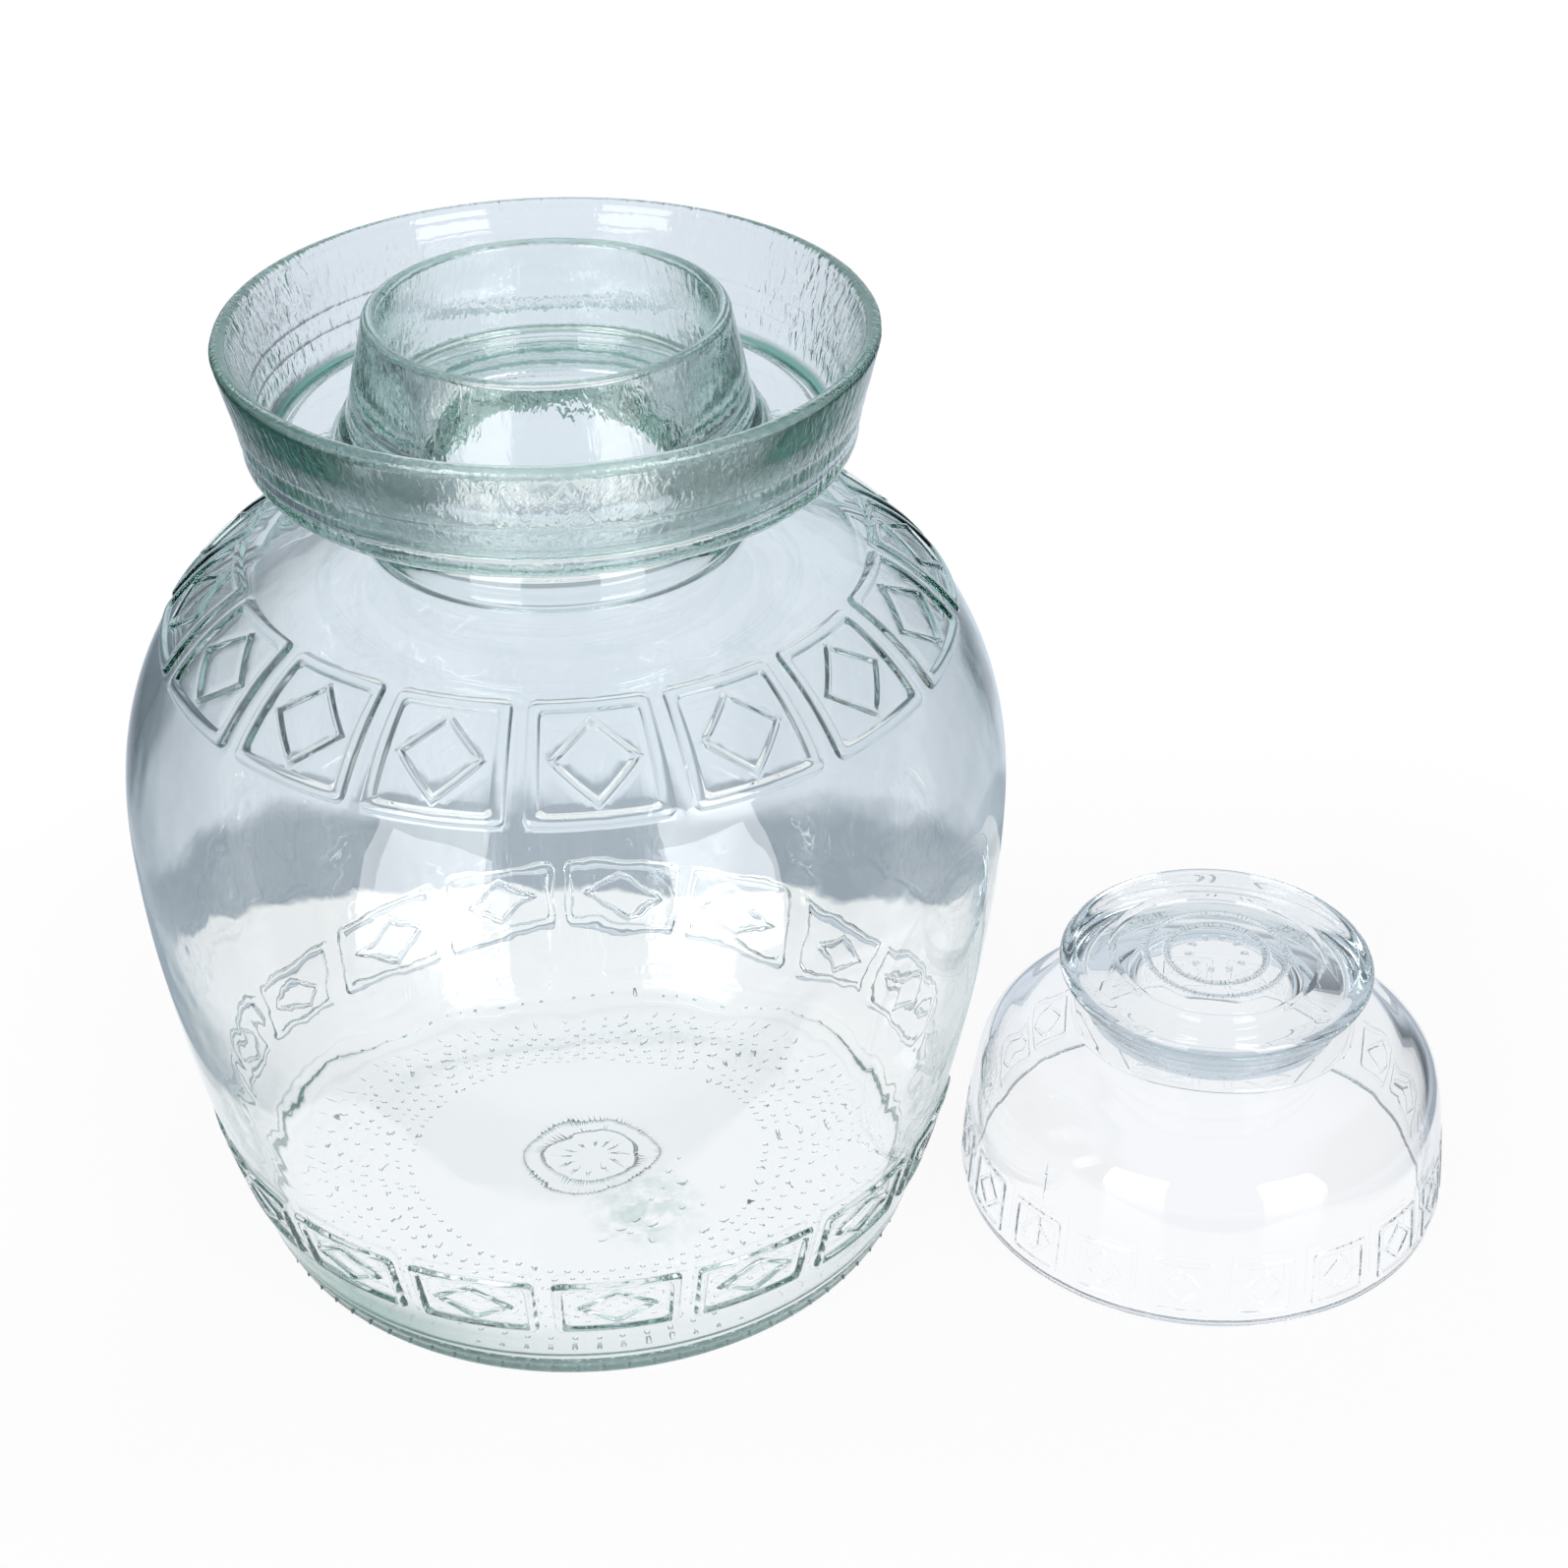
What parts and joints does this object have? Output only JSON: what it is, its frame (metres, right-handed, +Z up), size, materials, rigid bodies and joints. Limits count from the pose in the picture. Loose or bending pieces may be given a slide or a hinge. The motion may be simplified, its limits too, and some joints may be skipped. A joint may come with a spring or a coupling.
{
  "type": "pickling jar",
  "caption": "Glass pickling jar with a wide water-seal basin round its mouth and a loose bowl lid, with bands of raised framed diamonds.",
  "frame": {"origin": "on the jar's axis, in the plane that the jar stands on", "axes": "+Z up along the jar's axis, +X from the jar towards the lid that stands beside it"},
  "size_m": [0.3497, 0.2248, 0.2585],
  "materials": {
    "vessel_glass": "gloss",
    "basin_glass": "gloss, chill marked",
    "lid_glass": "gloss"
  },
  "bodies": {
    "jar": {"jar_body": "vessel_glass", "water_basin": "basin_glass"},
    "lid": {"bowl_lid": "lid_glass"}
  },
  "joints": [
    {"name": "lid_lift", "type": "slide", "parent": "jar", "child": "lid", "axis": [0.1736, 0, 0.9848], "range_m": [0, 0.3]}
  ]
}
